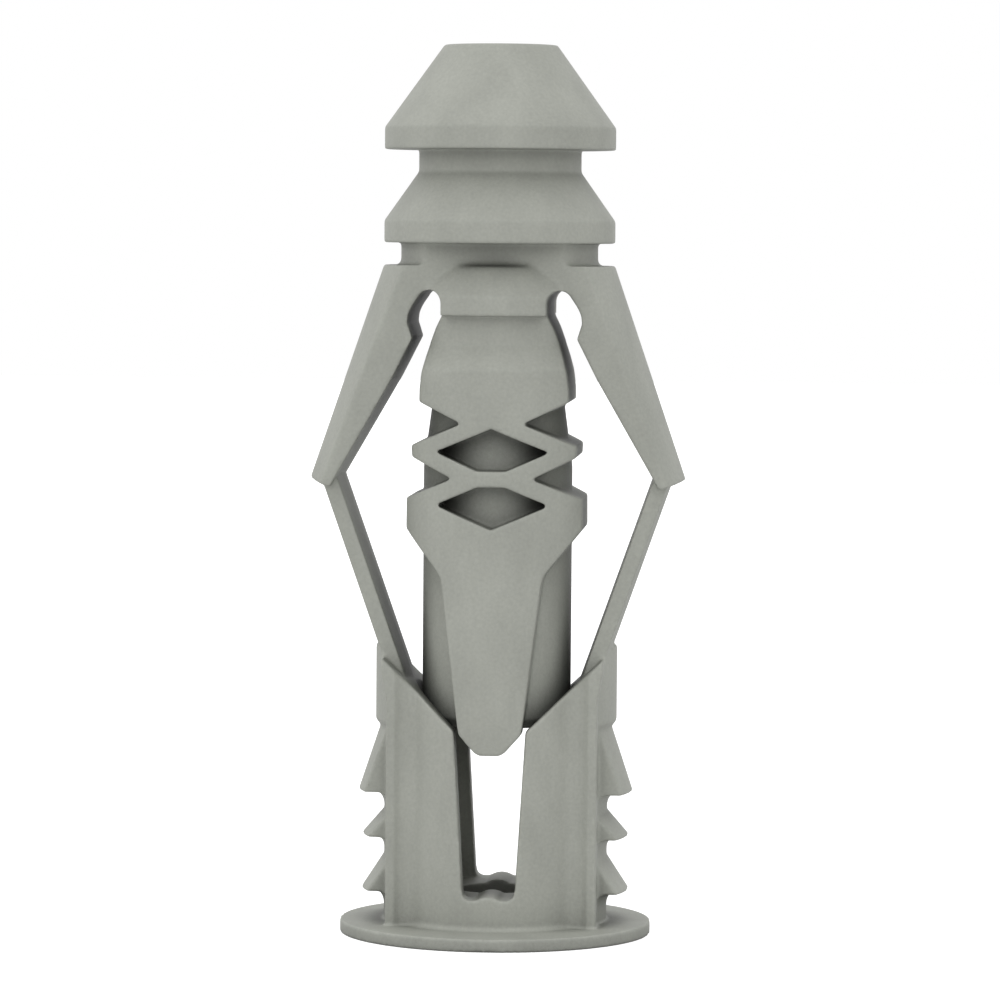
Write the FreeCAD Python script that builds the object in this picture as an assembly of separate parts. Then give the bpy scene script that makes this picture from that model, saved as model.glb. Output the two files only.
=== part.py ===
# Plastic wall anchor with two folding arms, moulded in one piece.
# Millimetres. The axis is Z: the flange stands on Z = 0, the nose points up,
# the arms spread along X and the slotted faces look along -Y and +Y.

import FreeCAD, Part
import math
import os

V = FreeCAD.Vector

# Main sizes
drill_d = 8.0            # hole that the anchor is made for, and its widest barbs
total_h = 30.8           # flange face to nose end
barrel_d = 7.1           # sleeve, raised plates and third barb
flange_d = 10.82
screw_d = 2.6            # bore for the screw, from end to end

# Nose, from its end down: cone, band, neck, second cone, band, neck
nose_tip_d = 3.9
nose_edge = 0.15
nose_cone_h = 2.85
rim_h = 0.76             # straight band below each cone
rim_edge = 0.08
neck_1_d = 5.62
neck_1_h = 0.77
barb_2_cone_h = 1.69
neck_2_d = 6.82
neck_2_h = 0.77
neck_cove = 0.2

# Arms
arm_spread = 18.85       # degrees between a moulded arm and the axis
arm_h = 7.37             # shoulder to elbow
arm_root_half_w = 2.45   # along Y
arm_end_half_w = 2.05
arm_end_t = 0.88
arm_crease = (3.55, 3.93)        # x, and depth below the shoulder
arm_stop = (2.83, 2.5)           # tip of the small stop below the keyhole
keyhole_low = (3.0, 1.96)
keyhole_out = ((2.94, 1.6), (2.66, 1.14))
keyhole_top = ((2.24, 0.84), (1.8, 1.25))

# Straps between the elbows and the sleeve, widest at the parting plane
strap_t = 0.7
strap_face_t = 0.53
strap_half_w = 1.6
strap_foot = (3.77, 10.3)        # where its middle leaves the sleeve
strap_top = (0.96, 0.46)         # in and down from the elbow
strap_root = 2.2                 # length of its root in the sleeve
strap_tip = 0.6                  # length of its end in the arm

# Third barb and its neck, from the shoulder down
barb_3_top_d = 5.62
barb_3_cone_h = 1.06
barb_3_rim_h = 0.64
neck_3_d = 6.0
neck_3_h = 1.0
flare_h = 0.84

# Core: round tube with raised plates on its front and back
tube_d = 5.16
tube_waist_d = 4.62
tube_foot_z = 7.3
tube_foot_chamfer = 0.3
lattice_z = 15.93                # middle of the two diamond openings
tube_full_up = 0.32              # above lattice_z
tube_waist_up = 2.37
tongue_side = ((0.46, 6.48), (1.14, 7.25), (1.7, 12.26), (1.88, 12.75))
lattice_side = (                 # x, and height above lattice_z
    (3.03, -1.78),
    (3.02, -0.71),
    (1.35, 0.0),
    (2.82, 0.7),
    (2.85, 1.1),
    (1.03, 1.89),
    (2.56, 2.6),
)
diamond_tip_up = 1.73
diamond_side = (1.95, 0.91)
diamond_flat = (0.48, 0.27)
lattice_r = 0.1                  # corners of plates, notches and diamonds
apron_bulge = 0.18
core_top_half_w = 1.8

# Sleeve, slot and cavity
slot_top_half_w = 1.23
slot_top_z = 7.3
slot_foot_half_w = 0.9
slot_foot_z = 1.5
slot_corner_r = 0.3
mouth_slope = 43.2               # degrees of the V shaped mouth above the slot
cavity_d = 5.56
floor_bead_half_w = 0.42
floor_bead_h = 0.14

# Flange, side plates, hinge blocks and teeth
flange_t = 0.45
flange_edge = 0.08
sleeve_root = 0.15
side_plate_x = 3.63              # outer face
side_plate_t = 0.3
side_plate_half_w = 2.5
valley_r = 0.6                   # hollow between the plates and the round wall
tooth_half_w = 1.67
tooth_root_r = 3.88
tooth_tips = ((4.66, 1.53), (4.66, 3.41), (4.77, 4.97))
tooth_hook_w = 0.42              # hollow below each tip
tooth_hook_h = 0.55
tooth_back_h = 0.68              # root above one tip, measured down from the next
hinge_block_d = 8.38
hinge_block_z = 7.44
hinge_block_root = (4.02, 7.23)

# Heights that follow from these
nose_rim_z = total_h - nose_cone_h
barb_2_top_z = nose_rim_z - rim_h - neck_1_h
barb_2_rim_z = barb_2_top_z - barb_2_cone_h
shoulder_z = barb_2_rim_z - rim_h - neck_2_h
barb_3_rim_z = shoulder_z - barb_3_cone_h
barb_3_foot_z = barb_3_rim_z - barb_3_rim_h
neck_3_foot_z = barb_3_foot_z - neck_3_h
plate_top_z = neck_3_foot_z - flare_h
tube_full_z = lattice_z + tube_full_up
tube_waist_z = lattice_z + tube_waist_up

drill_r = drill_d / 2
barrel_r = barrel_d / 2
lap = strap_face_t / 2           # overlap of pieces that are fused
wide = drill_d                   # half length of cutters that pass right through


def wire(steps):
    """Closed wire in the XZ plane: (x, z) draws a line, (x1, z1, x2, z2) an arc."""
    edges = []
    here = V(steps[0][0], 0, steps[0][1])
    for step in list(steps[1:]) + [steps[0]]:
        there = V(step[-2], 0, step[-1])
        if len(step) == 4:
            edges.append(Part.Arc(here, V(step[0], 0, step[1]), there).toShape())
        else:
            edges.append(Part.LineSegment(here, there).toShape())
        here = there
    return Part.Wire(edges)


def rounded(points):
    """Steps for wire() from corners, where a third value is the corner's radius."""
    steps = []
    count = len(points)
    for i, point in enumerate(points):
        if len(point) != 3:
            steps.append(point)
            continue
        before = points[i - 1]
        after = points[(i + 1) % count]
        corner = V(point[0], 0, point[1])
        u = (V(before[0], 0, before[1]) - corner).normalize()
        w = (V(after[0], 0, after[1]) - corner).normalize()
        radius = point[2]
        half = u.getAngle(w) / 2
        start = corner + u * (radius / math.tan(half))
        end = corner + w * (radius / math.tan(half))
        mid = corner + (u + w).normalize() * (radius / math.sin(half) - radius)
        steps.append((start.x, start.z))
        steps.append((mid.x, mid.z, end.x, end.z))
    return steps


def bevelled(points):
    """Steps for wire() from corners, where a third value is the corner's bevel."""
    steps = []
    count = len(points)
    for i, point in enumerate(points):
        if len(point) != 3:
            steps.append(point)
            continue
        corner = V(point[0], 0, point[1])
        for other in (points[i - 1], points[(i + 1) % count]):
            way = (V(other[0], 0, other[1]) - corner).normalize()
            end = corner + way * point[2]
            steps.append((end.x, end.z))
    return steps


def turned(points):
    """Solid of revolution about Z from a half section."""
    return Part.Face(wire(bevelled(points))).revolve(V(0, 0, 0), V(0, 0, 1), 360)


def prism(steps, half_w):
    """XZ outline drawn out along Y by half_w each way."""
    face = Part.Face(wire(steps))
    face.translate(V(0, -half_w, 0))
    return face.extrude(V(0, 2 * half_w, 0))


def mirror_x(shape):
    """The shape and its mirror image across the YZ plane."""
    return shape.fuse(shape.mirror(V(0, 0, 0), V(1, 0, 0)))


def mirror_y(shape):
    """The shape and its mirror image across the XZ plane."""
    return shape.fuse(shape.mirror(V(0, 0, 0), V(0, 1, 0)))


def slab(half_y, low, high):
    """Block centred on the axis, wide in X and thin in Y."""
    return Part.makeBox(2 * wide, 2 * half_y, high - low, V(-wide, -half_y, low))


def nose():
    """Nose cone, second barb and the round neck between them."""
    neck_r = neck_1_d / 2
    return turned([
        (0, barb_2_rim_z - rim_h),
        (drill_r, barb_2_rim_z - rim_h, rim_edge),
        (drill_r, barb_2_rim_z),
        (neck_r, barb_2_top_z, neck_cove),
        (neck_r, nose_rim_z - rim_h),
        (drill_r, nose_rim_z - rim_h, rim_edge),
        (drill_r, nose_rim_z),
        (nose_tip_d / 2, total_h, nose_edge),
        (0, total_h),
    ])


def shoulder_neck():
    """Lower neck, flattened front and back, with a cove onto the shoulder."""
    neck_r = neck_2_d / 2
    foot_r = neck_r + neck_cove
    low = shoulder_z - neck_cove
    high = barb_2_rim_z - rim_h + lap
    round_neck = turned([
        (0, low),
        (foot_r, low),
        (foot_r, shoulder_z),
        (neck_r, shoulder_z, neck_cove / 2),
        (neck_r, high),
        (0, high),
    ])
    return round_neck.common(slab(arm_root_half_w, low, high))


def elbow():
    """Outer corner at the end of the arm on the +X side."""
    return V(drill_r + arm_h * math.tan(math.radians(arm_spread)), 0, shoulder_z - arm_h)


def below_shoulder(point):
    """Outline point from its x and its depth below the shoulder."""
    return (point[0], shoulder_z - point[1])


def arm():
    """Folding arm on the +X side, with the shoulder above its keyhole."""
    lean = math.radians(arm_spread)
    along = V(math.sin(lean), 0, -math.cos(lean))
    out = V(math.cos(lean), 0, math.sin(lean))
    corner = elbow()
    end = corner - out * arm_end_t
    bar = prism([
        (0, shoulder_z),
        (drill_r, shoulder_z),
        (corner.x, corner.z),
        (end.x, end.z),
        below_shoulder(arm_crease),
        below_shoulder(arm_stop),
        below_shoulder(keyhole_low),
        below_shoulder(keyhole_out[0]) + below_shoulder(keyhole_out[1]),
        below_shoulder(keyhole_top[0]) + below_shoulder(keyhole_top[1]),
        (core_top_half_w, barb_3_foot_z),
        (0, barb_3_foot_z),
    ], wide)
    # front and back faces close in towards the elbow
    taper = Part.makePolygon([
        V(0, -arm_root_half_w, shoulder_z),
        V(0, arm_root_half_w, shoulder_z),
        V(0, arm_end_half_w, end.z),
        V(0, -arm_end_half_w, end.z),
        V(0, -arm_root_half_w, shoulder_z),
    ])
    bar = bar.common(Part.Face(taper).extrude(V(2 * wide, 0, 0)))
    # the outer face is the wall of the drilled hole, swung out with the arm
    foot = V(drill_r, 0, shoulder_z) - out * drill_r - along * arm_h
    return bar.common(Part.makeCylinder(drill_r, 3 * arm_h, foot, along))


def strap():
    """Strap on the +X side that hinges the arm to the sleeve."""
    low = V(strap_foot[0], 0, strap_foot[1])
    high = elbow() - V(strap_top[0], 0, strap_top[1])
    along = (high - low).normalize()
    across = V(along.z, 0, -along.x)
    start = low - along * strap_root
    length = strap_root + (high - low).Length + strap_tip
    thin = across * (strap_face_t / 2)
    thick = across * (strap_t / 2)
    side = V(0, strap_half_w, 0)
    section = [-thin - side, -thick, side - thin, side + thin, thick, thin - side]
    corners = [start + offset for offset in section]
    return Part.Face(Part.makePolygon(corners + corners[:1])).extrude(along * length)


def diamond():
    """Cutter for the upper diamond opening."""
    tip = (0, lattice_z + diamond_tip_up, lattice_r)
    side_x, side_z = diamond_side[0], lattice_z + diamond_side[1]
    flat_x, flat_z = diamond_flat[0], lattice_z + diamond_flat[1]
    return prism(rounded([
        tip,
        (-side_x, side_z, lattice_r / 2),
        (-flat_x, flat_z, lattice_r),
        (flat_x, flat_z, lattice_r),
        (side_x, side_z, lattice_r / 2),
    ]), wide)


def core():
    """Tube with its raised front and back plates."""
    envelope = turned([
        (0, slot_foot_z),
        (barrel_r, slot_foot_z),
        (barrel_r, plate_top_z),
        (neck_3_d / 2, neck_3_foot_z),
        (neck_3_d / 2, barb_3_foot_z),
        (barrel_r, barb_3_foot_z),
        (barrel_r, barb_3_rim_z),
        (barb_3_top_d / 2, shoulder_z),
        (0, shoulder_z),
    ])
    side = [(0, tongue_side[0][1])]
    side += [(x, z, lattice_r) for x, z in tongue_side]
    side += [(x, lattice_z + up, lattice_r) for x, up in lattice_side[:-1]]
    # the apron's side curves in to the keyhole
    apron_x, apron_z = lattice_side[-1][0], lattice_z + lattice_side[-1][1]
    bulge_x = (apron_x + core_top_half_w) / 2 + apron_bulge
    side += [
        (apron_x, apron_z),
        (bulge_x, (apron_z + barb_3_foot_z) / 2, core_top_half_w, barb_3_foot_z),
    ]
    # above the keyhole the cone of the barb runs out over the shoulder
    side += [
        below_shoulder(keyhole_top[1]),
        below_shoulder(keyhole_top[0]) + below_shoulder(keyhole_out[1]),
        below_shoulder((drill_r, keyhole_out[1][1])),
        (drill_r, shoulder_z),
        (0, shoulder_z),
    ]
    plates = envelope.common(mirror_x(prism(rounded(side), wide)))
    upper = diamond()
    lower = upper.mirror(V(0, 0, lattice_z), V(0, 0, 1))
    tube_r = tube_d / 2
    # between the apron and the foot only the tube joins front and back plates
    gap = turned([
        (0, slot_foot_z),
        (tube_r, slot_foot_z),
        (tube_r, tube_full_z),
        (tube_waist_d / 2, tube_waist_z),
        (0, tube_waist_z),
    ])
    tube = turned([
        (0, tube_foot_z),
        (tube_r - tube_foot_chamfer, tube_foot_z),
        (tube_r, tube_foot_z + tube_foot_chamfer),
        (tube_r, tube_full_z),
        (tube_waist_d / 2, tube_waist_z),
        (tube_waist_d / 2, tube_waist_z + lap),
        (0, tube_waist_z + lap),
    ])
    return plates.cut([upper, lower, gap]).fuse(tube)


def side_plate(top):
    """Side plate (+X side) with a hollow that runs from its inner edge to the round wall."""
    edge = V(side_plate_x - side_plate_t, 0, side_plate_half_w)
    reach = barrel_r + valley_r
    turn = math.acos((reach ** 2 + edge.Length ** 2 - valley_r ** 2) / (2 * reach * edge.Length))
    angle = math.atan2(edge.z, edge.x) + turn
    centre = V(math.cos(angle), 0, math.sin(angle)) * reach
    touch = centre * (barrel_r / reach)
    towards = (edge - centre).normalize() + (touch - centre).normalize()
    middle = centre + towards.normalize() * valley_r
    plan = Part.Face(wire([
        (edge.x, 0),
        (side_plate_x, 0),
        (side_plate_x, edge.z),
        (edge.x, edge.z),
        (middle.x, middle.z, touch.x, touch.z),
        (touch.x - lap, touch.z - lap),
    ]))
    plan.rotate(V(0, 0, 0), V(1, 0, 0), -90)
    return mirror_y(plan.extrude(V(0, 0, top)))


def toothed_sides(top):
    """Teeth and hinge blocks of both sides, as one turned shape cut to width."""
    hook_lean = 1 - math.sqrt(0.5)
    hook_r = tooth_root_r + tooth_hook_w * hook_lean
    section = [(0, 0), (tooth_root_r, 0)]
    for tip_r, tip_z in tooth_tips:
        if len(section) > 2:
            section.append((tooth_root_r, tip_z - tooth_back_h))
        section += [
            (tooth_root_r, tip_z - tooth_hook_h),
            (hook_r, tip_z - tooth_hook_h * hook_lean),
            (tooth_root_r + tooth_hook_w, tip_z),
            (tip_r, tip_z),
        ]
    section += [
        hinge_block_root,
        (hinge_block_d / 2, hinge_block_z),
        (hinge_block_d / 2, top),
        (0, top),
    ]
    return turned(section).common(slab(tooth_half_w, 0, top))


def mouth(rise):
    """Cutter for the right half of the V shaped mouth above the slot."""
    reach = 3 * wide
    low = slot_top_z - slot_top_half_w * rise
    return prism([(0, low), (reach, low + reach * rise), (0, low + reach * rise)], wide)


def slot():
    """Cutter for the slot through front and back, with its floor bead left standing."""
    half = slot_foot_half_w
    high = slot_top_z + wide
    lean = (slot_top_half_w - half) / (slot_top_z - slot_foot_z) * (high - slot_foot_z)
    return prism(rounded([
        (-half, slot_foot_z, slot_corner_r),
        (half, slot_foot_z, slot_corner_r),
        (half + lean, high),
        (-half - lean, high),
    ]), wide)


def sleeve():
    """Slotted sleeve with flange, side plates, teeth, hinge blocks and straps."""
    rise = math.tan(math.radians(mouth_slope))
    top = slot_top_z + hinge_block_d / 2 * rise
    round_wall = turned([
        (0, 0),
        (flange_d / 2, 0, flange_edge),
        (flange_d / 2, flange_t, flange_edge),
        (barrel_r, flange_t, sleeve_root),
        (barrel_r, top),
        (0, top),
    ])
    body = round_wall.fuse([mirror_x(side_plate(top)), toothed_sides(top)])
    body = body.cut([mirror_x(mouth(rise)), slot()])
    body = body.fuse(mirror_x(strap()))
    body = body.cut(Part.makeCylinder(cavity_d / 2, top, V(0, 0, slot_foot_z)))
    bead = prism([
        (-floor_bead_half_w, slot_foot_z - lap),
        (floor_bead_half_w, slot_foot_z - lap),
        (floor_bead_half_w, slot_foot_z),
        (0, slot_foot_z + floor_bead_h, -floor_bead_half_w, slot_foot_z),
    ], wide)
    floor = Part.makeCylinder(barrel_r, slot_foot_z + floor_bead_h)
    return body.fuse(bead.common(floor))


def anchor():
    """The whole moulding, bored for its screw."""
    body = nose().fuse([shoulder_neck(), mirror_x(arm()), core(), sleeve()])
    bore = Part.makeCylinder(screw_d / 2, total_h + 2 * lap, V(0, 0, -lap))
    return body.cut(bore).removeSplitter()


os.makedirs("parts", exist_ok=True)
part = anchor()
part.exportStep("parts/anchor_body.step")
print("anchor_body", part.ShapeType, len(part.Solids), "solids", round(part.Volume, 2), "mm3")
print("valid", part.isValid(), "box", part.BoundBox)
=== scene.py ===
import bpy
import bmesh
import math
from mathutils import Matrix, Vector


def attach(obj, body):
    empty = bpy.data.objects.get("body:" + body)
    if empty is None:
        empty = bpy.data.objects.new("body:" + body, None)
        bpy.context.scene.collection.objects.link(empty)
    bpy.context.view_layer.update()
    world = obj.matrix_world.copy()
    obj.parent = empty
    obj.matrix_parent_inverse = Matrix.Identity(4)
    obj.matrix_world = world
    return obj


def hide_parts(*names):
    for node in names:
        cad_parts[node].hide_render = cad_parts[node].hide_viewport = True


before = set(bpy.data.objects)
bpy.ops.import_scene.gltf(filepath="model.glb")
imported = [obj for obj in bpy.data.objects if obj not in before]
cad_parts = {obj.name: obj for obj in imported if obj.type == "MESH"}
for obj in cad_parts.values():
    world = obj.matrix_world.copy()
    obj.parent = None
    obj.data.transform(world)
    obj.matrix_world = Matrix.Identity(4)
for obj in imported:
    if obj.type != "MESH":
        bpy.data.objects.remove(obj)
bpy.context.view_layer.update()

MM = 0.001

# Sizes of the moulding, in millimetres and degrees
drill_r = 4.0
total_h = 30.8
barrel_r = 3.55
screw_r = 1.3

# Nose, barbs and necks
nose_tip_r = 1.95
nose_rim_z = 27.95
rim_h = 0.76
neck_1_r = 2.81
barb_2_top_z = 26.42
barb_2_rim_z = 24.73
neck_2_r = 3.41
neck_cove_r = 0.2
shoulder_z = 23.2
barb_3_top_r = 2.81
barb_3_rim_z = 22.14
barb_3_foot_z = 21.5
neck_3_r = 3.0
neck_3_foot_z = 20.5

# Arms and straps
arm_spread = 18.85
arm_h = 7.37
arm_root_x = 1.0
arm_root_half_w = 2.45
arm_end_half_w = 2.05
arm_end_t = 0.88
strap_t = 0.7
strap_face_t = 0.53
strap_half_w = 1.6
strap_foot = (3.77, 10.3)
strap_top = (0.96, 0.46)

# Outlines of the keyhole, on the core's side and on the arm's side
core_top_half_w = 1.8
keyhole_top = [
    (core_top_half_w, 21.95),
    (1.83, 22.08),
    (1.92, 22.22),
    (2.07, 22.33),
    (2.24, 22.36),
    (2.41, 22.33),
    (2.56, 22.22),
    (2.66, 22.06),
]
keyhole_crown_z = max(height for _, height in keyhole_top)
keyhole_side = [
    (2.8, 21.86),
    (2.9, 21.68),
    (2.97, 21.5),
    (3.0, 21.24),
    (2.83, 20.7),
    (3.55, 19.27),
]

# Raised plates of the core, right side from the bottom up
plate_top_z = 19.66
tongue_side = [
    (0.33, 6.48),
    (0.52, 6.58),
    (1.08, 7.2),
    (1.7, 12.26),
    (1.75, 12.52),
    (1.88, 12.75),
]
apron_corners = [(3.03, 14.15), (3.02, 15.22)]
notch_corners = [
    (1.35, 15.93),
    (2.82, 16.63),
    (2.85, 17.03),
    (1.03, 17.82),
]
neck_3_side = [
    (2.56, 18.53),
    (2.55, 19.0),
    (2.49, 19.5),
    (2.36, 20.05),
    (2.2, 20.6),
    (2.03, 21.05),
]
diamond_z = 15.93
diamond_h = 1.73
diamond_corner = (1.95, 0.91)
diamond_flat = (0.48, 0.27)

# Tube behind the plates
tube_r = 2.58
tube_waist_r = 2.31
tube_full_z = 16.25
tube_waist_z = 18.3
tube_foot_z = 7.3
tube_foot_chamfer = 0.3

# Flange and sleeve
flange_r = 5.4
flange_t = 0.45
flange_root_z = flange_t / 4
flange_fillet = 0.15
flange_fillet_middle = 0.04
slot_top_half_w = 1.23
slot_top_z = 7.3
slot_foot_half_w = 0.9
slot_foot_z = 1.5
slot_corner_r = 0.3
mouth_slope = 43.2
cavity_r = 2.78
cavity_top_z = 14
floor_bead = [
    (0.42, 1.3),
    (0.42, 1.5),
    (0.3, 1.57),
    (0.15, 1.62),
    (0.001, 1.64),
]

# Side plates, which are thicker beside the hinge blocks
side_plate_x = 3.63
side_plate_t = 0.3
side_plate_half_w = 2.5
plate_swell = 0.2
plate_swell_z = (8.2, 9.3)
valley_r = 0.6

# Teeth and hinge blocks
tooth_half_w = 1.67
tooth_inner_r = 3.2
tooth_root_r = 3.88
tooth_hook_w = 0.42
tooth_hook_h = 0.55
tooth_tip = (4.66, 1.53)
tooth_back_h = 1.2
tooth_count = 2
tooth_rise = 1.88
tooth_stretch = -0.25
top_tooth_tip = (4.77, 4.97)
hinge_block_r = 4.19
hinge_block_half_w = 2.25
hinge_block_z = 7.44
hinge_block_root = (4.02, 7.23)

# How far one piece runs into the next, and how far a cutting shape reaches past what it cuts
strap_run_in = 2.2
strap_run_out = 0.6
overlap = 0.2
past_depth = 6
past_height = 12
mouth_reach = 20

# How finely round shapes are divided
turn_segments = 192
screw_segments = 96
arc_steps = 10
slot_corner_steps = 8
hook_steps = 8

# Where the skin is eased: how far from the edge, how far from the parting plane, and up to where
shoulder_ease = 0.5
shoulder_ease_y = 2
shoulder_ease_h = 0.1
keyhole_ease = 0.15
mouth_ease = 0.25
mouth_ease_y = 1
mouth_ease_r = 3.35
mouth_ease_top_z = 10.44

# Fineness of the remeshed surface, in millimetres, and how often it is smoothed
voxel = 0.05
most_triangles = 190_000
skin_steps = 8
shoulder_steps = 40
mouth_steps = 32
smooth_share = 0.5

# Plastic: its colour, the depth of its grain and how far the shade painted into its recesses reaches,
# in millimetres
plastic_colour = (0.37, 0.38, 0.34, 1)
grain_depth = 0.01
painted_shade_reach = 4.0
plastic_roughness = 0.5
plastic_gloss = 0.4
grain_strength = 0.5
openness_samples = 12

# Patterns: repeats per metre, stretch by axis, the band of the noise that counts, and how much
# each changes the colour or the height
cloud_scale = 700
cloud_stretch = (1, 1, 0.5)
cloud_band = (0.3, 0.7)
cloud_range = (0.93, 1.05)
speck_scale = 9000
speck_band = (0.25, 0.75)
speck_range = (0.93, 1.07)
# Painted shade: how open a place is, mapped to how much of the colour is left, down to a tenth in the
# deepest recesses
painted_shade_open = (0.05, 0.65)
painted_shade_range = (0.1, 1.0)
grain_scale = 16000
wave_scale = 1500
wave_stretch = (1, 1, 0.35)
wave_weight = 2.0

# Brightness of the tent's walls by axis and side, how sharply each wall is set off from the
# next, and the glow of the floor that the camera sees
tent_walls = (
    ("Y", -1, 1.27),
    ("X", -1, 1.0),
    ("X", 1, 0.7),
    ("Z", 1, 1.15),
    ("Y", 1, 0.75),
)
wall_power = 2
floor_glow = 0.75

# Floor: how pale it is, and half its width in metres
floor_grey = 0.65
floor_half = 0.6

# Camera: angles in degrees, places in millimetres, its reach in picture widths, its sensor in
# millimetres and its clipping in metres
camera_yaw = 4.09
camera_roll = 0.42
camera_distance = 173.91
camera_height = 24.73
camera_target = (0.071, 0, 15.054)
camera_reach = 5.0135
camera_sensor = 36
camera_clip = (0.01, 5)


def fresh(name, bm):
    """New object from a bmesh whose lengths are millimetres."""
    bmesh.ops.recalc_face_normals(bm, faces=bm.faces)
    mesh = bpy.data.meshes.new(name)
    bm.to_mesh(mesh)
    bm.free()
    obj = bpy.data.objects.new(name, mesh)
    bpy.context.scene.collection.objects.link(obj)
    return obj


def arc(centre, radius, start, end, steps=arc_steps):
    """Points of an arc in the XZ plane, angles in degrees."""
    points = []
    for i in range(steps + 1):
        a = math.radians(start + (end - start) * i / steps)
        points.append((centre[0] + radius * math.cos(a), centre[1] + radius * math.sin(a)))
    return points


def turned(name, section, segments=turn_segments):
    """Closed solid turned about Z from a half section that starts and ends on the axis."""
    bm = bmesh.new()
    rings = []
    for r, z in section:
        if r == 0:
            rings.append([bm.verts.new((0, 0, z))])
            continue
        ring = []
        for i in range(segments):
            a = 2 * math.pi * i / segments
            ring.append(bm.verts.new((r * math.cos(a), r * math.sin(a), z)))
        rings.append(ring)
    for low, high in zip(rings, rings[1:]):
        for i in range(segments):
            j = (i + 1) % segments
            corners = [low[i % len(low)], low[j % len(low)], high[j % len(high)], high[i % len(high)]]
            unique = list(dict.fromkeys(corners))
            if len(unique) > 2:
                bm.faces.new(unique)
    return fresh(name, bm)


def turned_ring(name, section):
    """Closed ring turned about Z from a section that stays clear of the axis."""
    bm = bmesh.new()
    rings = []
    for i in range(turn_segments):
        a = 2 * math.pi * i / turn_segments
        rings.append([bm.verts.new((r * math.cos(a), r * math.sin(a), z)) for r, z in section])
    count = len(section)
    for i in range(turn_segments):
        near, far = rings[i], rings[(i + 1) % turn_segments]
        for j in range(count):
            k = (j + 1) % count
            bm.faces.new([near[j], far[j], far[k], near[k]])
    return fresh(name, bm)


def lofted(name, rings):
    """Closed solid through rings of points, one after the other."""
    bm = bmesh.new()
    loops = [[bm.verts.new(point) for point in ring] for ring in rings]
    bm.faces.new(loops[0])
    bm.faces.new(list(reversed(loops[-1])))
    count = len(loops[0])
    for near, far in zip(loops, loops[1:]):
        for i in range(count):
            j = (i + 1) % count
            bm.faces.new([near[i], far[i], far[j], near[j]])
    bmesh.ops.triangulate(bm, faces=bm.faces)
    return fresh(name, bm)


def prism(name, outline, half_w):
    """Solid drawn out along Y by half_w each way from an XZ outline."""
    return lofted(name, [[(x, y, z) for x, z in outline] for y in (-half_w, half_w)])


def slab(half_w, low, high):
    """Block that is wide in X and cuts a turned piece to its width in Y."""
    reach = 2 * drill_r
    return prism("slab", [(-reach, low), (reach, low), (reach, high), (-reach, high)], half_w)


def math_node(tree, operation, first, second):
    """Math node whose inputs are sockets or numbers; returns its output."""
    node = tree.nodes.new("ShaderNodeMath")
    node.operation = operation
    for socket, value in zip(node.inputs, (first, second)):
        if isinstance(value, (int, float)):
            socket.default_value = value
        else:
            tree.links.new(value, socket)
    return node.outputs[0]


def repeat_tree():
    """Geometry nodes that set copies of a piece round the axis or one above the other."""
    tree = bpy.data.node_groups.new("repeat_about_axis", "GeometryNodeTree")
    for label, kind in (
        ("Piece", "NodeSocketGeometry"),
        ("Count", "NodeSocketInt"),
        ("Turn", "NodeSocketFloat"),
        ("Rise", "NodeSocketFloat"),
        ("Stretch", "NodeSocketFloat"),
        ("Material", "NodeSocketMaterial"),
    ):
        tree.interface.new_socket(label, in_out="INPUT", socket_type=kind)
    tree.interface.new_socket("Copies", in_out="OUTPUT", socket_type="NodeSocketGeometry")
    node, link = tree.nodes.new, tree.links.new
    given = node("NodeGroupInput").outputs
    index = node("GeometryNodeInputIndex").outputs[0]
    rise = math_node(tree, "MULTIPLY", index, given["Rise"])
    turn = math_node(tree, "MULTIPLY", index, given["Turn"])
    taller = math_node(tree, "MULTIPLY", index, given["Stretch"])
    height = math_node(tree, "ADD", taller, 1)
    place = node("ShaderNodeCombineXYZ")
    link(rise, place.inputs["Z"])
    points = node("GeometryNodePoints")
    link(given["Count"], points.inputs["Count"])
    link(place.outputs[0], points.inputs["Position"])
    spin = node("ShaderNodeCombineXYZ")
    link(turn, spin.inputs["Z"])
    size = node("ShaderNodeCombineXYZ")
    size.inputs["X"].default_value = 1
    size.inputs["Y"].default_value = 1
    link(height, size.inputs["Z"])
    copies = node("GeometryNodeInstanceOnPoints")
    link(points.outputs[0], copies.inputs["Points"])
    link(given["Piece"], copies.inputs["Instance"])
    link(spin.outputs[0], copies.inputs["Rotation"])
    link(size.outputs[0], copies.inputs["Scale"])
    real = node("GeometryNodeRealizeInstances")
    link(copies.outputs[0], real.inputs[0])
    paint = node("GeometryNodeSetMaterial")
    link(real.outputs[0], paint.inputs["Geometry"])
    link(given["Material"], paint.inputs["Material"])
    link(paint.outputs[0], node("NodeGroupOutput").inputs[0])
    return tree


def repeated(obj, tree, count, turn=0.0, rise=0.0, stretch=0.0):
    """Turns a piece into its copies, each turned by degrees, raised and stretched in height."""
    step = obj.modifiers.new("copies", "NODES")
    step.node_group = tree
    values = {
        "Count": count,
        "Turn": math.radians(turn),
        "Rise": rise,
        "Stretch": stretch,
    }
    for socket in tree.interface.items_tree:
        if socket.name in values:
            step[socket.identifier] = values[socket.name]
    return applied(obj)


def applied(obj):
    """Turns the result of an object's modifiers into its mesh."""
    graph = bpy.context.evaluated_depsgraph_get()
    mesh = bpy.data.meshes.new_from_object(obj.evaluated_get(graph))
    obj.modifiers.clear()
    old = obj.data
    obj.data = mesh
    bpy.data.meshes.remove(old)
    return obj


def combine(obj, other, operation):
    """Boolean of two solids; the second is used up."""
    step = obj.modifiers.new("cut", "BOOLEAN")
    step.operation = operation
    step.object = other
    step.solver = "MANIFOLD"
    applied(obj)
    bpy.data.objects.remove(other)
    return obj


def cut(obj, other):
    """Takes the second solid out of the first."""
    return combine(obj, other, "DIFFERENCE")


def keep(obj, other):
    """Keeps of the first solid what lies in the second."""
    return combine(obj, other, "INTERSECT")


def mirrored(right):
    """Full outline from its right half, listed from the bottom up."""
    return right + [(-x, z) for x, z in reversed(right) if x > 0]


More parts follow.
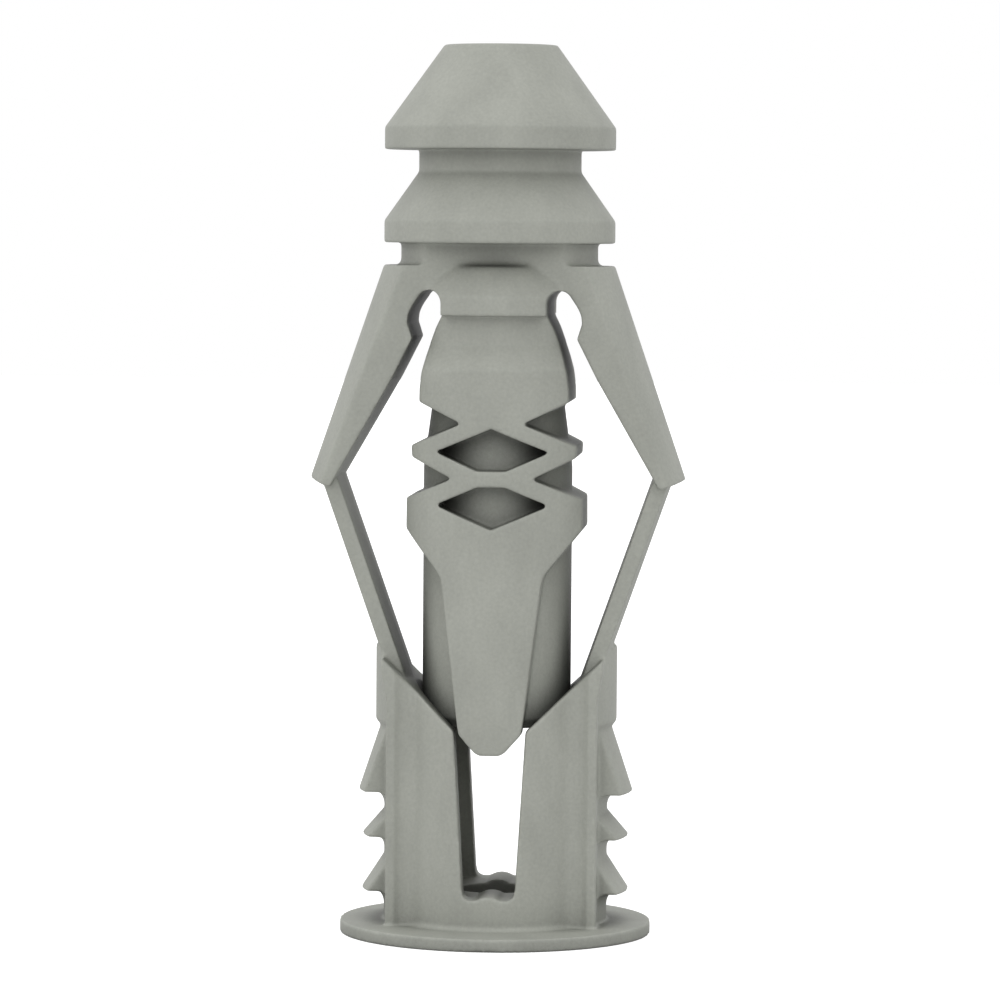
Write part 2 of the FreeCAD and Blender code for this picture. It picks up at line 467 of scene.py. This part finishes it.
def nose():
    """Nose cone and second barb."""
    foot = barb_2_rim_z - rim_h
    section = [
        (0, foot),
        (drill_r, foot),
        (drill_r, barb_2_rim_z),
        (neck_1_r, barb_2_top_z),
        (neck_1_r, nose_rim_z - rim_h),
        (drill_r, nose_rim_z - rim_h),
        (drill_r, nose_rim_z),
        (nose_tip_r, total_h),
        (0, total_h),
    ]
    return turned("nose", section)


def lower_neck():
    """Neck above the shoulder, flattened front and back."""
    cove = neck_cove_r
    high = barb_2_rim_z - rim_h + overlap
    section = [(0, shoulder_z - cove), (neck_2_r + cove, shoulder_z - cove)]
    section += arc((neck_2_r + cove, shoulder_z + cove), cove, -90, -180)
    section += [(neck_2_r, high), (0, high)]
    flats = slab(arm_root_half_w, shoulder_z - cove, high)
    return keep(turned("lower_neck", section), flats)


def arm():
    """Right arm with the shoulder above its keyhole."""
    lean = math.radians(arm_spread)
    elbow_x = drill_r + arm_h * math.tan(lean)
    elbow_z = shoulder_z - arm_h
    end = (elbow_x - arm_end_t * math.cos(lean), elbow_z - arm_end_t * math.sin(lean))
    outline = [(arm_root_x, barb_3_foot_z), (core_top_half_w, barb_3_foot_z)]
    outline += keyhole_top + keyhole_side
    outline += [end, (elbow_x, elbow_z), (drill_r, shoulder_z), (arm_root_x, shoulder_z)]
    bar = prism("arm_right", outline, past_depth)
    taper = [
        (-arm_root_half_w, shoulder_z),
        (arm_root_half_w, shoulder_z),
        (arm_end_half_w, end[1]),
        (-arm_end_half_w, end[1]),
    ]
    keep(bar, lofted("taper", [[(x, y, z) for y, z in taper] for x in (0, 2 * drill_r)]))
    far = past_height
    wall = turned("drilled_wall", [(0, -far), (drill_r, -far), (drill_r, far), (0, far)])
    out = Vector((math.cos(lean), 0, math.sin(lean)))
    wall.data.transform(Matrix.Rotation(-lean, 4, "Y"))
    wall.data.transform(Matrix.Translation(Vector((drill_r, 0, shoulder_z)) - out * drill_r))
    return keep(bar, wall)


def strap():
    """Right strap between the elbow and the sleeve, widest at the parting plane."""
    low = Vector((strap_foot[0], 0, strap_foot[1]))
    elbow_x = drill_r + arm_h * math.tan(math.radians(arm_spread))
    high = Vector((elbow_x - strap_top[0], 0, shoulder_z - arm_h - strap_top[1]))
    along = (high - low).normalized()
    across = Vector((along.z, 0, -along.x))
    low -= along * strap_run_in
    high += along * strap_run_out
    thin = across * strap_face_t / 2
    thick = across * strap_t / 2
    side = Vector((0, strap_half_w, 0))
    section = [-thin - side, -thick, side - thin, side + thin, thick, thin - side]
    return lofted("strap_right", [[centre + offset for offset in section] for centre in (low, high)])


def core():
    """Tube with its raised plates."""
    section = [
        (0, slot_foot_z),
        (barrel_r, slot_foot_z),
        (barrel_r, plate_top_z),
        (neck_3_r, neck_3_foot_z),
        (neck_3_r, barb_3_foot_z),
        (barrel_r, barb_3_foot_z),
        (barrel_r, barb_3_rim_z),
        (barb_3_top_r, shoulder_z),
        (0, shoulder_z),
    ]
    right = tongue_side + apron_corners + notch_corners + neck_3_side
    right.append((core_top_half_w, barb_3_foot_z))
    # above the keyhole the cone of the barb runs out over the shoulder
    right += keyhole_top
    right += [(drill_r, keyhole_top[-1][1]), (drill_r, shoulder_z)]
    plates = keep(turned("core", section), prism("plan", mirrored(right), past_depth))
    opening = [diamond_flat, diamond_corner, (0, diamond_h)]
    for up in (1, -1):
        outline = [(x, diamond_z + up * z) for x, z in mirrored(opening)]
        cut(plates, prism("opening", outline, past_depth))
    gap = [
        (0, flange_t),
        (tube_r, flange_t),
        (tube_r, tube_full_z),
        (tube_waist_r, tube_waist_z),
        (0, tube_waist_z),
    ]
    cut(plates, turned("gap", gap))
    tube = [
        (0, tube_foot_z),
        (tube_r - tube_foot_chamfer, tube_foot_z),
        (tube_r, tube_foot_z + tube_foot_chamfer),
        (tube_r, tube_full_z),
        (tube_waist_r, tube_waist_z),
        (tube_waist_r, tube_waist_z + overlap),
        (0, tube_waist_z + overlap),
    ]
    return [plates, turned("tube", tube)]


def side_plate(top):
    """Side plate whose inner face runs out into the round wall, thicker beside the hinge block."""
    edge = Vector((side_plate_x - side_plate_t, side_plate_half_w))
    reach = barrel_r + valley_r
    far = edge.length
    turn = math.acos((reach ** 2 + far ** 2 - valley_r ** 2) / (2 * reach * far))
    angle = math.atan2(edge.y, edge.x) + turn
    hollow = Vector((math.cos(angle), math.sin(angle))) * reach
    start = math.degrees(math.atan2(edge.y - hollow.y, edge.x - hollow.x))
    plan = [(side_plate_x, side_plate_half_w)]
    plan += arc(hollow, valley_r, start, math.degrees(angle) - 180)
    plan.append((hollow.x - valley_r, hollow.y - valley_r))
    plan += [(x, -y) for x, y in reversed(plan)]
    thicker = [(x + plate_swell if x == side_plate_x else x, y) for x, y in plan]
    swell_foot, swell_full = plate_swell_z
    levels = ((plan, flange_root_z), (plan, swell_foot), (thicker, swell_full), (thicker, top))
    return lofted("side_plate", [[(x, y, z) for x, y in outline] for outline, z in levels])


def hooked(tip_r, tip_z):
    """Points of one tooth from its hollow underside to its tip."""
    middle_r = tooth_root_r + tooth_hook_w
    points = []
    for i in range(hook_steps + 1):
        a = math.radians(90 * i / hook_steps)
        points.append((
            middle_r - tooth_hook_w * math.cos(a),
            tip_z - tooth_hook_h + tooth_hook_h * math.sin(a),
        ))
    return points + [(tip_r, tip_z)]


def tooth():
    """Lowest tooth of both sides, cut to width from a turned ring."""
    tip_r, tip_z = tooth_tip
    section = [(tooth_inner_r, tip_z - tooth_hook_h), *hooked(tip_r, tip_z)]
    section += [(tooth_root_r, tip_z + tooth_back_h), (tooth_inner_r, tip_z + tooth_back_h)]
    both = turned_ring("tooth", section)
    both.data.transform(Matrix.Translation((0, 0, -tip_z)))
    return keep(both, slab(tooth_half_w, -tooth_rise, tooth_rise))


def hinge_blocks(top):
    """Hinge blocks of both sides, with the long top tooth below each."""
    foot = hinge_block_root[1]
    blocks = turned("hinge_blocks", [
        (0, foot),
        hinge_block_root,
        (hinge_block_r, hinge_block_z),
        (hinge_block_r, top),
        (0, top),
    ])
    keep(blocks, slab(hinge_block_half_w, foot - overlap, top + overlap))
    section = [(0, flange_root_z), (tooth_root_r, flange_root_z)]
    section += hooked(*top_tooth_tip)
    section += [hinge_block_root, (hinge_block_root[0], foot + overlap), (0, foot + overlap)]
    teeth = keep(turned("top_teeth", section), slab(tooth_half_w, 0, top))
    return combine(blocks, teeth, "UNION")


def sleeve(copies):
    """Slotted sleeve with flange, side plates, teeth, hinge blocks and straps."""
    rise = math.tan(math.radians(mouth_slope))
    top = slot_top_z + hinge_block_r * rise
    body = turned("sleeve", [
        (0, 0),
        (flange_r, 0),
        (flange_r, flange_t),
        (barrel_r + flange_fillet, flange_t),
        (barrel_r + flange_fillet_middle, flange_t + flange_fillet_middle),
        (barrel_r, flange_t + flange_fillet),
        (barrel_r, top),
        (0, top),
    ])
    combine(body, hinge_blocks(top), "UNION")
    teeth = repeated(tooth(), copies, tooth_count, rise=tooth_rise, stretch=tooth_stretch)
    teeth.data.transform(Matrix.Translation((0, 0, tooth_tip[1])))
    combine(body, teeth, "UNION")
    combine(body, repeated(side_plate(top), copies, 2, turn=180), "UNION")
    for side in (1, -1):
        low = slot_top_z - slot_top_half_w * rise
        high = low + mouth_reach * rise
        outline = [(0, low), (side * mouth_reach, high), (0, high)]
        cut(body, prism("mouth", outline, past_depth))
    lean = (slot_top_half_w - slot_foot_half_w) / (slot_top_z - slot_foot_z)
    corner = (slot_foot_half_w - slot_corner_r, slot_foot_z + slot_corner_r)
    slot = arc(corner, slot_corner_r, -90, 0, slot_corner_steps)
    slot.append((slot_foot_half_w + lean * past_height, slot_foot_z + past_height))
    cut(body, prism("slot", mirrored(slot), past_depth))
    combine(body, repeated(strap(), copies, 2, turn=180), "UNION")
    cavity = [
        (0, slot_foot_z),
        (cavity_r, slot_foot_z),
        (cavity_r, cavity_top_z),
        (0, cavity_top_z),
    ]
    cut(body, turned("cavity", cavity))
    low, high = slot_foot_z - 2 * overlap, slot_foot_z + 2 * overlap
    disc = turned("floor_round", [(0, low), (barrel_r, low), (barrel_r, high), (0, high)])
    bead = keep(prism("bead", mirrored(floor_bead), past_depth), disc)
    return combine(body, bead, "UNION")


def soften(obj, name, weight_at, steps):
    """Smooths the skin only where the weight, from a place in millimetres, is above 0."""
    group = obj.vertex_groups.new(name=name)
    for vertex in obj.data.vertices:
        weight = weight_at(*vertex.co)
        if weight > 0:
            group.add([vertex.index], min(weight, 1), "REPLACE")
    ease = obj.modifiers.new(name, "SMOOTH")
    ease.factor = smooth_share
    ease.iterations = steps
    ease.vertex_group = name
    applied(obj)
    obj.vertex_groups.clear()


def shoulder_crease(x, y, z):
    """Where the cone of the third barb meets the arms' flat faces and the neck above it."""
    if abs(y) < shoulder_ease_y or not barb_3_rim_z < z < shoulder_z + shoulder_ease:
        return 0
    ledge = side = 0
    if abs(x) < core_top_half_w:
        ledge = 1 - abs(z - shoulder_z) / shoulder_ease
    if z < shoulder_z + shoulder_ease_h:
        slope = (barrel_r - barb_3_top_r) / (shoulder_z - barb_3_rim_z)
        cone_r = barb_3_top_r + (shoulder_z - z) * slope
        crease_x = math.sqrt(max(0, cone_r ** 2 - arm_root_half_w ** 2))
        side = 1 - abs(abs(x) - crease_x) / shoulder_ease
    return min(max(side, ledge), (z - keyhole_crown_z) / keyhole_ease)


def mouth_edge(x, y, z):
    """Outer edge of the V shaped mouth and of the slot below it."""
    if math.hypot(x, y) < mouth_ease_r or abs(y) < mouth_ease_y:
        return 0
    if not slot_foot_z + slot_corner_r <= z <= mouth_ease_top_z:
        return 0
    if z > slot_top_z:
        slope = math.radians(mouth_slope)
        over = (z - slot_top_z) - (abs(x) - slot_top_half_w) * math.tan(slope)
        away = abs(over) * math.cos(slope)
    else:
        lean = (slot_top_half_w - slot_foot_half_w) / (slot_top_z - slot_foot_z)
        away = abs(abs(x) - slot_foot_half_w - lean * (z - slot_foot_z))
    return 1 - away / mouth_ease


def moulding():
    """The whole anchor as one skin with soft moulded edges."""
    copies = repeat_tree()
    parts = [nose(), lower_neck(), sleeve(copies)]
    parts += core()
    parts.append(repeated(arm(), copies, 2, turn=180))
    whole = parts[0]
    for other in parts[1:]:
        combine(whole, other, "UNION")
    low, high = -overlap, total_h + overlap
    bore = [(0, low), (screw_r, low), (screw_r, high), (0, high)]
    cut(whole, turned("bore", bore, screw_segments))
    remesh = whole.modifiers.new("skin", "REMESH")
    remesh.mode = "VOXEL"
    remesh.voxel_size = voxel
    remesh.adaptivity = 0
    smooth = whole.modifiers.new("soften", "SMOOTH")
    smooth.factor = smooth_share
    smooth.iterations = skin_steps
    applied(whole)
    soften(whole, "shoulder", shoulder_crease, shoulder_steps)
    soften(whole, "mouth", mouth_edge, mouth_steps)
    triangles = 2 * len(whole.data.polygons)
    if triangles > most_triangles:
        thin = whole.modifiers.new("thin", "DECIMATE")
        thin.ratio = most_triangles / triangles
        applied(whole)
    whole.data.transform(Matrix.Scale(MM, 4))
    whole.data.polygons.foreach_set("use_smooth", [True] * len(whole.data.polygons))
    whole.name = "anchor"
    return whole


def node_group(name, inputs, outputs):
    """Empty shader group with its sockets; returns it with its input and output nodes."""
    group = bpy.data.node_groups.new(name, "ShaderNodeTree")
    for label, kind, value in inputs:
        socket = group.interface.new_socket(label, in_out="INPUT", socket_type=kind)
        socket.default_value = value
    for label, kind in outputs:
        group.interface.new_socket(label, in_out="OUTPUT", socket_type=kind)
    return group, group.nodes.new("NodeGroupInput"), group.nodes.new("NodeGroupOutput")


def ranged(tree, value, old, new):
    """Map Range node, clamped, between two ranges; returns its output."""
    node = tree.nodes.new("ShaderNodeMapRange")
    tree.links.new(value, node.inputs["Value"])
    node.inputs["From Min"].default_value = old[0]
    node.inputs["From Max"].default_value = old[1]
    node.inputs["To Min"].default_value = new[0]
    node.inputs["To Max"].default_value = new[1]
    return node.outputs["Result"]


def noise(tree, where, scale, detail, stretch=(1, 1, 1)):
    """Noise of the given scale per metre at a place; returns its output."""
    mapping = tree.nodes.new("ShaderNodeMapping")
    mapping.inputs["Scale"].default_value = stretch
    tree.links.new(where, mapping.inputs["Vector"])
    node = tree.nodes.new("ShaderNodeTexNoise")
    node.inputs["Scale"].default_value = scale
    node.inputs["Detail"].default_value = detail
    tree.links.new(mapping.outputs[0], node.inputs["Vector"])
    return node.outputs["Fac"]


def pigment_and_painted_shade_group():
    """Colour of the plastic, with slow clouds and fine specks, and shade painted darker into the
    recesses.
    """
    group, given, result = node_group(
        "pigment_and_painted_shade",
        [
            ("Place", "NodeSocketVector", (0, 0, 0)),
            ("Colour", "NodeSocketColor", plastic_colour),
            ("Open", "NodeSocketFloat", 1.0),
        ],
        [("Colour", "NodeSocketColor")],
    )
    where = given.outputs["Place"]
    clouds = noise(group, where, cloud_scale, detail=2, stretch=cloud_stretch)
    clouds = ranged(group, clouds, cloud_band, cloud_range)
    specks = noise(group, where, speck_scale, detail=3)
    specks = ranged(group, specks, speck_band, speck_range)
    # painted shade: the less open a place is, the darker its colour is painted
    depth = ranged(group, given.outputs["Open"], painted_shade_open, painted_shade_range)
    level = math_node(group, "MULTIPLY", clouds, specks)
    level = math_node(group, "MULTIPLY", level, depth)
    scale = group.nodes.new("ShaderNodeVectorMath")
    scale.operation = "SCALE"
    group.links.new(given.outputs["Colour"], scale.inputs[0])
    group.links.new(level, scale.inputs["Scale"])
    group.links.new(scale.outputs[0], result.inputs["Colour"])
    return group


def grain_group():
    """Height of the fine grain that the eroded mould leaves, with soft flow waves under it."""
    group, given, result = node_group(
        "mould_grain",
        [("Place", "NodeSocketVector", (0, 0, 0))],
        [("Height", "NodeSocketFloat")],
    )
    where = given.outputs["Place"]
    grain = noise(group, where, grain_scale, detail=2)
    waves = noise(group, where, wave_scale, detail=1, stretch=wave_stretch)
    waves = math_node(group, "MULTIPLY", waves, wave_weight)
    total = math_node(group, "ADD", grain, waves)
    group.links.new(total, result.inputs["Height"])
    return group


def moulded_plastic():
    """Matte grey plastic, as it comes from the mould, with shade painted into its recesses."""
    material = bpy.data.materials.new("moulded_plastic")
    material.use_nodes = True
    tree = material.node_tree
    node, link = tree.nodes.new, tree.links.new
    shader = tree.nodes["Principled BSDF"]
    shader.inputs["Roughness"].default_value = plastic_roughness
    shader.inputs["Specular IOR Level"].default_value = plastic_gloss
    where = node("ShaderNodeTexCoord").outputs["Object"]
    # ambient occlusion sets how dark the shade painted into the recesses' colour is
    openness = node("ShaderNodeAmbientOcclusion")
    openness.samples = openness_samples
    openness.inputs["Distance"].default_value = painted_shade_reach * MM
    pigment_and_painted_shade = node("ShaderNodeGroup")
    pigment_and_painted_shade.node_tree = pigment_and_painted_shade_group()
    pigment_and_painted_shade.inputs["Colour"].default_value = plastic_colour
    link(where, pigment_and_painted_shade.inputs["Place"])
    link(openness.outputs["AO"], pigment_and_painted_shade.inputs["Open"])
    link(pigment_and_painted_shade.outputs["Colour"], shader.inputs["Base Color"])
    grain = node("ShaderNodeGroup")
    grain.node_tree = grain_group()
    link(where, grain.inputs["Place"])
    bump = node("ShaderNodeBump")
    bump.inputs["Strength"].default_value = grain_strength
    bump.inputs["Distance"].default_value = grain_depth * MM
    link(grain.outputs["Height"], bump.inputs["Height"])
    link(bump.outputs[0], shader.inputs["Normal"])
    return material


def studio():
    """White tent with walls of different brightness; the camera sees it plain white."""
    world = bpy.data.worlds.new("studio")
    bpy.context.scene.world = world
    world.use_nodes = True
    tree = world.node_tree
    node, link = tree.nodes.new, tree.links.new
    where = node("ShaderNodeTexCoord")
    split = node("ShaderNodeSeparateXYZ")
    link(where.outputs["Generated"], split.inputs[0])
    total = None
    for axis, sign, strength in tent_walls:
        wall = math_node(tree, "MULTIPLY", split.outputs[axis], sign)
        wall = math_node(tree, "MAXIMUM", wall, 0)
        wall = math_node(tree, "POWER", wall, wall_power)
        wall = math_node(tree, "MULTIPLY", wall, strength)
        total = wall if total is None else math_node(tree, "ADD", total, wall)
    back = tree.nodes["Background"]
    back.inputs["Color"].default_value = (1, 1, 1, 1)
    link(total, back.inputs["Strength"])
    seen = node("ShaderNodeBackground")
    seen.inputs["Color"].default_value = (1, 1, 1, 1)
    seen.inputs["Strength"].default_value = 1.0
    path = node("ShaderNodeLightPath")
    mix = node("ShaderNodeMixShader")
    link(path.outputs["Is Camera Ray"], mix.inputs[0])
    link(back.outputs[0], mix.inputs[1])
    link(seen.outputs[0], mix.inputs[2])
    link(mix.outputs[0], tree.nodes["World Output"].inputs["Surface"])


def floor():
    """Pale floor that the flange stands on."""
    bm = bmesh.new()
    corners = ((-1, -1), (1, -1), (1, 1), (-1, 1))
    bm.faces.new([bm.verts.new((x * floor_half, y * floor_half, 0)) for x, y in corners])
    plane = fresh("floor", bm)
    material = bpy.data.materials.new("pale_floor")
    material.use_nodes = True
    tree = material.node_tree
    node, link = tree.nodes.new, tree.links.new
    tree.nodes.remove(tree.nodes["Principled BSDF"])
    paper = node("ShaderNodeBsdfDiffuse")
    paper.inputs["Color"].default_value = (floor_grey, floor_grey, floor_grey, 1)
    glow = node("ShaderNodeEmission")
    glow.inputs["Color"].default_value = (1, 1, 1, 1)
    path = node("ShaderNodeLightPath")
    level = math_node(tree, "MULTIPLY", path.outputs["Is Camera Ray"], floor_glow)
    link(level, glow.inputs["Strength"])
    add = node("ShaderNodeAddShader")
    link(paper.outputs[0], add.inputs[0])
    link(glow.outputs[0], add.inputs[1])
    link(add.outputs[0], tree.nodes["Material Output"].inputs["Surface"])
    plane.data.materials.append(material)


def camera():
    """Camera at the photograph's angle and distance."""
    data = bpy.data.cameras.new("camera")
    data.sensor_fit = "HORIZONTAL"
    data.sensor_width = camera_sensor
    data.lens = camera_sensor * camera_reach
    data.clip_start, data.clip_end = camera_clip
    cam = bpy.data.objects.new("camera", data)
    bpy.context.scene.collection.objects.link(cam)
    bpy.context.scene.camera = cam
    yaw = math.radians(camera_yaw)
    side = Vector((math.sin(yaw), -math.cos(yaw), 0))
    cam.location = (side * camera_distance + Vector((0, 0, camera_height))) * MM
    forward = (Vector(camera_target) * MM - cam.location).normalized()
    upright = forward.to_track_quat("-Z", "Y")
    leaning = Matrix.Rotation(-math.radians(camera_roll), 3, forward).to_quaternion()
    cam.rotation_mode = "QUATERNION"
    cam.rotation_quaternion = leaning @ upright


anchor = moulding()
anchor.data.materials.clear()
anchor.data.materials.append(moulded_plastic())
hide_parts("anchor_body")
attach(anchor, "root")

studio()
floor()
camera()

bpy.context.scene.view_settings.view_transform = "Standard"
